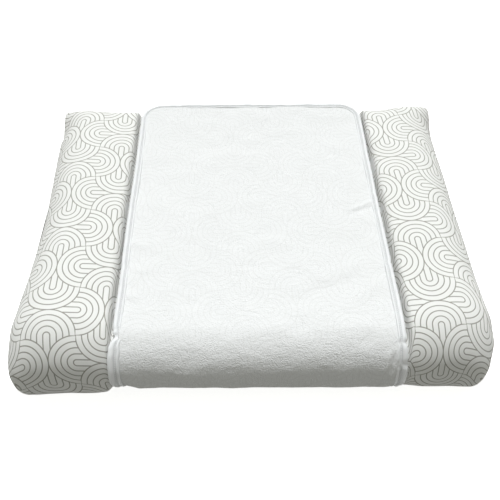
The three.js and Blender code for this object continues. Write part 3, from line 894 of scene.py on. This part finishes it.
def tape_lie(path, travelled, b):
    """Where the tape lies across its path: how far in its point b is, and how far it is lifted there.

    Below its gathers the tape is wider; on the left it bulges out over the bolster and ends further in.
    """
    left = path[:, 0] < TOWEL_X - TOWEL_HALF + 1 * MM
    right = path[:, 0] > TOWEL_X + TOWEL_HALF - 1 * MM
    v = TOWEL_BACK - (towel_length() - np.where(right, travelled[-1] - travelled, travelled))
    spread = smoothstep(-0.243, -0.262, v) * smoothstep(-0.335, -0.3, v)
    wander = 0.9 * MM * noise(travelled, travelled * 0, 60 * MM, 21)
    inside = b + wander + 1.1 * pressed_at_gathers(path, travelled)
    inside = inside + left * (spread * (0.35 * b - 5.5 * MM) + 5 * MM * smoothstep(-0.305, -0.345, v))
    inside = inside + right * (spread * (0.4 * b - 1 * MM) + 3 * MM * smoothstep(-0.305, -0.345, v))
    return inside[:, None], 2.6 * MM * left * spread * (1 - b / TAPE_WIDTH)


def towel_length():
    return towel_path(GAP, 2 * MM)[2][-1]


def binding():
    """The folded tape round the towel's edge, puckered at its seam and pinched at its gathers."""
    path, normal, inward, travelled = binding_path(1.1 * MM)
    pucker = np.cos(2 * math.pi * travelled / STITCH_PITCH)
    swell = tape_fullness(travelled)
    pressed = pressed_at_gathers(path, travelled)
    rings, across = [], []
    for b, h in TAPE_TOP * MM:
        close = math.exp(-((b - STITCH_IN) / (2.4 * MM)) ** 2)
        height = np.maximum(h * swell - pucker * 0.4 * MM * close - pressed * h / (4 * MM), 0.4 * MM)
        inside, lifted = tape_lie(path, travelled, b)
        rings.append(path + inward * inside + normal * (height + lifted)[:, None])
        across.append(b)
    for b, h in TAPE_UNDERSIDE * MM:
        inside, lifted = tape_lie(path, travelled, b)
        rings.append(path + inward * inside + normal * (h + lifted)[:, None])
        across.append(b + TAPE_WIDTH)
    verts = np.stack(rings, 1).reshape(-1, 3)
    verts[:, 2] = np.maximum(verts[:, 2], 0.2 * MM)     # pressed flat under the pad
    columns = len(rings)
    faces = grid_faces(len(path), columns, close_columns=True)
    faces += [tuple(range(columns))[::-1], tuple(range((len(path) - 1) * columns, len(path) * columns))]
    obj = make_object("towel_binding_tape", verts, faces, SATIN)
    u = np.tile(across, (len(path), 1))
    set_uv(obj, np.stack([u, np.tile(travelled[:, None], (1, columns))], 2).reshape(-1, 2))
    return obj


def stitches(name, path, normal, pitch, length=2.2 * MM, radius=0.33 * MM):
    """A row of short threads lying along a path."""
    travelled = distances(path)
    profile = [(0.0, -0.9), (0.14, -0.1), (0.32, 0.45), (0.5, 0.6), (0.68, 0.45), (0.86, -0.1), (1.0, -0.9)]
    rows, sides = len(profile), 6
    tube = [f[::-1] for f in grid_faces(rows, sides, close_columns=True)]
    tube += [tuple(range(sides)), tuple(range((rows - 1) * sides, rows * sides))[::-1]]
    verts, faces = [], []
    for s in np.arange(pitch / 2, travelled[-1] - length, pitch):
        faces += [tuple(len(verts) + i for i in f) for f in tube]
        steps = np.array([s + f * length for f, _ in profile])
        centre, up = sample(steps, travelled, path), sample(steps, travelled, normal)
        along = centre[-1] - centre[0]
        along /= np.linalg.norm(along)
        side = np.cross(along, up[0])
        for k, (_, lift) in enumerate(profile):
            for n in range(sides):
                a = 2 * math.pi * n / sides
                ring = side * math.cos(a) + up[k] * math.sin(a)
                verts.append(centre[k] + up[k] * lift * radius + ring * radius)
    return make_object(name, verts, faces, THREAD)


def binding_stitches():
    path, normal, inward, travelled = binding_path(2 * MM)
    inside, lifted = tape_lie(path, travelled, STITCH_IN)
    height = 2.1 * MM * tape_fullness(travelled) - 0.5 * pressed_at_gathers(path, travelled) + lifted
    seam = path + inward * inside + normal * height[:, None]
    seam[:, 2] = np.maximum(seam[:, 2], 0.8 * MM)
    return stitches("towel_binding_stitches", seam, normal, STITCH_PITCH)


def front_hem():
    """The towel's turned-under front edge, a flat folded tape."""
    low, high = [np.array(p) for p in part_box("towel_front_hem")]
    columns = 120
    x = np.linspace(low[0], high[0], columns)
    rows = []
    for y, z in ((low[1], 1.6), (low[1] + 0.8 * MM, 0.5), (high[1] - 1.2 * MM, 0.4), (high[1], 1.5),
                 (high[1] - 1.2 * MM, 2.8), (low[1] + 0.8 * MM, 2.7)):
        wave = 0.12 * MM * np.sin(x / (4 * MM))
        rows.append(np.column_stack([x, np.full(columns, y), z * MM + wave]))
    faces = [f[::-1] for f in grid_faces(len(rows), columns, close_rows=True)]
    near_end = tuple(r * columns for r in range(len(rows)))
    faces += [near_end[::-1], tuple(i + columns - 1 for i in near_end)]
    obj = make_object("towel_front_hem_tape", np.concatenate(rows), faces, SATIN)
    set_uv(obj, [(p[0], p[1]) for p in np.concatenate(rows)])
    return obj


def strap(side):
    """Ribbed elastic from the front hem, under the pad and up its back."""
    lower = arc(BACK - BACK_LOWER, BACK_LOWER, BACK_LOWER + 1.0 * MM, 270, 360, 24)
    lower[:, 1] = np.maximum(lower[:, 1], 0.9 * MM)
    top_z = MIDDLE_HEIGHT - 0.6 * MM
    raw = np.concatenate([
        line((LIP_END + 0.4 * MM, 0.9 * MM), lower[0], 200), lower,
        line((BACK + 1.0 * MM, BACK_LOWER), (BACK + 1.0 * MM, top_z), 40), [(BACK + 1.0 * MM, top_z)]])
    tangent = unit(np.gradient(raw, axis=0))
    outward = np.column_stack([tangent[:, 1], -tangent[:, 0]])
    columns = 13
    across = np.linspace(-STRAP_HALF, STRAP_HALF, columns)
    rounded = 1 - np.abs(across / STRAP_HALF) ** 6
    across = np.concatenate([across, across[::-1]])          # over the outside and back over the inside
    half_thick = (0.15 + 0.4 * rounded) * MM
    out = np.concatenate([half_thick, -half_thick])
    verts, uv = [], []
    for (y, z), (oy, oz), s in zip(raw, outward, distances(raw)):
        verts.append(np.column_stack([
            TOWEL_X + side * STRAP_X + across, y + oy * out, np.maximum(z + oz * out, 0.25 * MM)]))
        uv.append(np.column_stack([across, np.full(len(across), s)]))
    rows = len(raw)
    faces = [f[::-1] for f in grid_faces(rows, 2 * columns, close_columns=True)]
    first = range(2 * columns)
    faces += [tuple(first), tuple(i + (rows - 1) * 2 * columns for i in first)[::-1]]
    name = "left" if side < 0 else "right"
    obj = make_object(f"elastic_strap_{name}_band", np.concatenate(verts), faces, ELASTIC)
    set_uv(obj, np.concatenate(uv))
    return obj


terry_panel = towel_cloth()
tape_edge = binding()
edge_stitches = binding_stitches()
hem = front_hem()
straps = {side: strap(side) for side in (-1, 1)}
for piece, slot_name, nodes in (
        (terry_panel, "terry", ["towel_panel"]), (tape_edge, "binding", ["towel_binding"]),
        (edge_stitches, "binding", []), (hem, "binding", ["towel_front_hem"]),
        (straps[-1], "elastic", ["elastic_strap_left"]), (straps[1], "elastic", ["elastic_strap_right"])):
    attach(piece, "towel")
    if nodes:
        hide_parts(*nodes)

# ---------------------------------------------------------------- the zip
def loop_tube(path, radius, sides=8):
    """Vertices and faces of a closed tube along a closed path."""
    verts, count = [], len(path)
    for k in range(count):
        along = path[(k + 1) % count] - path[k - 1]
        along /= np.linalg.norm(along)
        side = np.cross(along, (0.0, 1.0, 0.0))
        side /= np.linalg.norm(side)
        up = np.cross(side, along)
        for a in np.linspace(0, 2 * math.pi, sides, endpoint=False):
            verts.append(path[k] + radius * (side * math.cos(a) + up * math.sin(a)))
    return verts, [f[::-1] for f in grid_faces(count, sides, close_columns=True, close_rows=True)]


def zip_coil(node, pitch=2.2 * MM):
    """A row of nylon loops in the place of the row of teeth."""
    low, high = [np.array(p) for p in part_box(node)]
    toward = 1 if low[2] > ZIP_Z else -1
    verts, faces = [], []
    offset = 0.0 if toward > 0 else pitch / 2
    for y in np.arange(low[1] + pitch + offset, high[1] - pitch, pitch):
        turn = np.linspace(0, 2 * math.pi, 14, endpoint=False)
        middle = (low[2] + high[2]) / 2 + toward * 0.35 * MM
        path = np.column_stack([
            (low[0] + high[0]) / 2 + 0.15 * MM + 0.62 * MM * np.cos(turn),
            y + 0.45 * MM * np.sin(turn), middle + 1.05 * MM * np.sin(turn)])
        ring_verts, ring_faces = loop_tube(path, 0.32 * MM)
        faces += [tuple(i + len(verts) for i in f) for f in ring_faces]
        verts += ring_verts
    obj = make_object(node + "_coil", verts, faces, COIL)
    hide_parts(node)
    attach(obj, "pad")


def block(verts, faces, low, high):
    """Adds a box to a growing mesh."""
    first = len(verts)
    for x in (low[0], high[0]):
        for y in (low[1], high[1]):
            for z in (low[2], high[2]):
                verts.append((x, y, z))
    for quad in ((0, 1, 3, 2), (4, 6, 7, 5), (0, 4, 5, 1), (2, 3, 7, 6), (0, 2, 6, 4), (1, 5, 7, 3)):
        faces.append(tuple(first + i for i in quad))


def metal_piece(name, verts, faces, width, node, body):
    """A plated piece with rounded edges of that width, in the place of a CAD node."""
    obj = make_object(name, verts, faces, METAL)
    add_modifier(obj, "BEVEL", width=width, segments=3, limit_method="ANGLE")
    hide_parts(node)
    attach(obj, body)


def zip_slider():
    """A plate with rounded edges and flanges, and an arched bridge that holds the pull."""
    low, high = [np.array(p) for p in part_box("zip_slider")]
    verts, faces = [], []
    plate_back, flange, bridge = low[0] + 1.1 * MM, 0.9 * MM, 0.8 * MM
    plate_front = plate_back + 1.2 * MM
    block(verts, faces, (plate_back, low[1], low[2]), (plate_front, high[1], high[2]))
    for z in (low[2], high[2] - flange):
        block(verts, faces, (low[0], low[1], z), (plate_back, high[1], z + flange))
    middle = (low[1] + high[1]) / 2
    for y in (middle - 4.8 * MM, middle + 3.2 * MM):
        block(verts, faces, (plate_front, y, ZIP_Z - bridge), (high[0], y + 2 * bridge, ZIP_Z + bridge))
    block(verts, faces, (high[0] - bridge, middle - 4 * MM, ZIP_Z - bridge),
          (high[0], middle + 4 * MM, ZIP_Z + bridge))
    metal_piece("zip_slider_body", verts, faces, 0.35 * MM, "zip_slider", "slider")


def zip_pull():
    """A bar, two arms and a leaf with rounded edges and a grip rib."""
    low, high = [np.array(p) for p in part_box("zip_pull")]
    verts, faces = [], []
    block(verts, faces, (low[0], low[1], ZIP_Z - 2.1 * MM), (high[0], low[1] + 0.8 * MM, ZIP_Z + 2.1 * MM))
    for z in (ZIP_Z - 2.1 * MM, ZIP_Z + 1.2 * MM):
        block(verts, faces, (low[0], low[1], z), (high[0], low[1] + 7.4 * MM, z + 0.9 * MM))
    block(verts, faces, (low[0], low[1] + 6.4 * MM, low[2]), (high[0], high[1], high[2]))
    for rib in range(4):
        y = high[1] - (3 + 2.4 * rib) * MM
        block(verts, faces, (high[0] - 0.2 * MM, y, low[2] + 1 * MM),
              (high[0] + 0.25 * MM, y + 0.9 * MM, high[2] - 1 * MM))
    metal_piece("zip_pull_leaf", verts, faces, 0.3 * MM, "zip_pull", "pull")


def zip_welt():
    """The cover's folded edge round the zip, with its stitching."""
    low, high = [np.array(p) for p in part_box("zip_tape_lower")]
    half_y, half_z, corner = high[1] + 1.5 * MM, 13.2 * MM, 5 * MM
    turn = np.linspace(0, math.pi / 2, 9)
    centres = [(half_y - corner, half_z - corner, 0), (-half_y + corner, half_z - corner, 90),
               (-half_y + corner, -half_z + corner, 180), (half_y - corner, -half_z + corner, 270)]
    ring = []
    for y, z, start in centres:
        a = turn + math.radians(start)
        ring.append(np.column_stack([y + corner * np.cos(a), z + corner * np.sin(a)]))
    ring = np.concatenate(ring)
    ring = np.concatenate([ring, ring[:1]])
    travelled = distances(ring)
    at = np.linspace(0, travelled[-1], 420, endpoint=False)
    path = sample(at, travelled, ring)
    along = unit(np.roll(path, -1, 0) - np.roll(path, 1, 0))
    outward = np.column_stack([along[:, 1], -along[:, 0]])
    uneven = 1 + 0.12 * noise(at, at * 0, 12 * MM, 31)
    profile = [(-2.8, -0.2), (-2.6, 0.9), (-1.4, 1.35), (0.4, 1.15), (2.2, 0.9), (3.6, 0.35), (4.4, -0.8)]
    radius = END_RADII["top"]
    fall = radius - np.sqrt(radius ** 2 - np.clip(path[:, 1] - 9 * MM, 0, 1) ** 2)
    columns = []
    for out, height in np.array(profile) * MM:
        place = path + outward * out
        stands = HALF_WIDTH - fall + height * uneven
        columns.append(np.column_stack([stands, place[:, 0], ZIP_Z + place[:, 1]]))
    verts = np.stack(columns, 1).reshape(-1, 3)
    obj = make_object("zip_welt", verts, grid_faces(len(path), len(profile), close_rows=True), PRINT)
    edge_u = cloth_u(HALF_WIDTH)
    set_uv(obj, [(edge_u + END_HEIGHT - p[2], p[1]) for p in verts])
    add_modifier(obj, "SOLIDIFY", thickness=0.5 * MM, offset=-1.0)
    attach(obj, "pad")
    line_path = path + outward * 2.6 * MM
    seam = np.column_stack([HALF_WIDTH - fall + 0.95 * MM, line_path[:, 0], ZIP_Z + line_path[:, 1]])
    facing = np.tile([1.0, 0, 0], (len(seam), 1))
    thread_row = stitches("zip_stitches", seam, facing, 3 * MM, 2 * MM, 0.25 * MM)
    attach(thread_row, "pad")


for node in ("zip_teeth_upper", "zip_teeth_lower"):
    zip_coil(node)
zip_slider()
zip_pull()
zip_welt()


# ---------------------------------------------------------------- stitching on straps, seam and label
def strap_stitches(side):
    """A stitched box with a cross where the strap meets the towel's back edge."""
    name = "left" if side < 0 else "right"
    x, y = TOWEL_X + side * STRAP_X, BACK + 1.62 * MM
    half, low, high = 9.5 * MM, 82 * MM, 97 * MM
    corners = [(x - half, low), (x + half, low), (x + half, high), (x - half, high), (x - half, low),
               (x + half, high), (x + half, low), (x - half, high)]
    points = np.concatenate([line(a, b, 20) for a, b in zip(corners, corners[1:])])
    seam = np.column_stack([points[:, 0], np.full(len(points), y), points[:, 1]])
    rows = stitches(f"elastic_strap_{name}_stitches", seam, np.tile([0, 1.0, 0], (len(seam), 1)),
                    2.6 * MM, 1.9 * MM, 0.22 * MM)
    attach(rows, "towel")


for side in (-1, 1):
    strap_stitches(side)

# ---------------------------------------------------------------- materials of the CAD pieces that stay
for node, material in (
        ("zip_tape_upper", TAPE), ("zip_tape_lower", TAPE), ("zip_bottom_stop", METAL),
        ("zip_top_stop_upper", METAL), ("zip_top_stop_lower", METAL), ("care_label", LABEL)):
    for material_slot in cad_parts[node].material_slots:
        material_slot.material = material


# ---------------------------------------------------------------- floor, light and camera
def floor():
    size = 4.0
    s = mottled("studio_floor", 0.5, (0.93, 0.93, 0.93), (0.94, 0.94, 0.94),
                Roughness=0.9, Specular_IOR_Level=0.1, Emission_Strength=0.74)
    s.surface.inputs["Emission Color"].default_value = (1, 1, 1, 1)
    plane = make_object("floor", [(-size, -size, 0), (size, -size, 0), (size, size, 0), (-size, size, 0)],
                        [(0, 1, 2, 3)], s.material)
    plane.visible_diffuse = False                # it throws no light up on the pad's front


def soft_sun(name, from_behind, spread, strength, color):
    """Even light from nearly overhead, tilted by from_behind degrees and that many degrees wide."""
    data = bpy.data.lights.new(name, "SUN")
    data.energy = strength
    data.angle = math.radians(spread)
    data.color = color
    lamp = bpy.data.objects.new(name, data)
    lamp.location = (0, 0.4, 2)
    lamp.rotation_euler = (math.radians(-from_behind), 0, 0)
    bpy.context.scene.collection.objects.link(lamp)


def world_light(color, from_below, from_above):
    """Even light from all round, with a white background behind it."""
    world = bpy.data.worlds.new("studio")
    world.use_nodes = True
    tree = world.node_tree
    light = tree.nodes["Background"]
    light.inputs["Color"].default_value = (*color, 1)
    direction = tree.nodes.new("ShaderNodeTexCoord")
    axes = tree.nodes.new("ShaderNodeSeparateXYZ")
    by_height = tree.nodes.new("ShaderNodeMapRange")
    for socket, setting in zip(list(by_height.inputs)[1:5], (-0.3, 0.2, from_below, from_above)):
        socket.default_value = setting
    tree.links.new(direction.outputs["Generated"], axes.inputs[0])
    tree.links.new(axes.outputs["Z"], by_height.inputs["Value"])
    tree.links.new(by_height.outputs[0], light.inputs["Strength"])
    backdrop = tree.nodes.new("ShaderNodeBackground")
    backdrop.inputs["Color"].default_value = (1, 1, 1, 1)
    seen = tree.nodes.new("ShaderNodeLightPath")
    either = tree.nodes.new("ShaderNodeMixShader")
    tree.links.new(seen.outputs["Is Camera Ray"], either.inputs[0])
    tree.links.new(light.outputs[0], either.inputs[1])
    tree.links.new(backdrop.outputs[0], either.inputs[2])
    tree.links.new(either.outputs[0], tree.nodes["World Output"].inputs["Surface"])
    bpy.context.scene.world = world


CAMERA_ELEVATION = 50.0
CAMERA_YAW = 1.9            # the object is turned this far from square to the camera
CAMERA_ROLL = 0.64
CAMERA_PLACE = (-25.4 * MM, -697.8 * MM, 838.5 * MM)
CAMERA_LENS = 44.93         # mm, on a 36 mm sensor


def camera():
    data = bpy.data.cameras.new("camera")
    data.sensor_width = 36.0
    data.lens = CAMERA_LENS
    eye = bpy.data.objects.new("camera", data)
    eye.location = CAMERA_PLACE
    e, a = math.radians(CAMERA_ELEVATION), math.radians(CAMERA_YAW)
    forward = Vector((math.sin(a) * math.cos(e), math.cos(a) * math.cos(e), -math.sin(e)))
    turn = forward.to_track_quat("-Z", "Y").to_matrix().to_4x4()
    eye.rotation_euler = (turn @ Matrix.Rotation(math.radians(CAMERA_ROLL), 4, "Z")).to_euler()
    data.clip_start, data.clip_end = 0.01, 20
    bpy.context.scene.collection.objects.link(eye)
    bpy.context.scene.camera = eye


floor()
soft_sun("overhead", 25, 14, 3.22, (0.985, 1.0, 1.01))
world_light((1.0, 1.0, 0.92), 0.24, 0.375)
bpy.context.scene.view_settings.view_transform = "Standard"
camera()
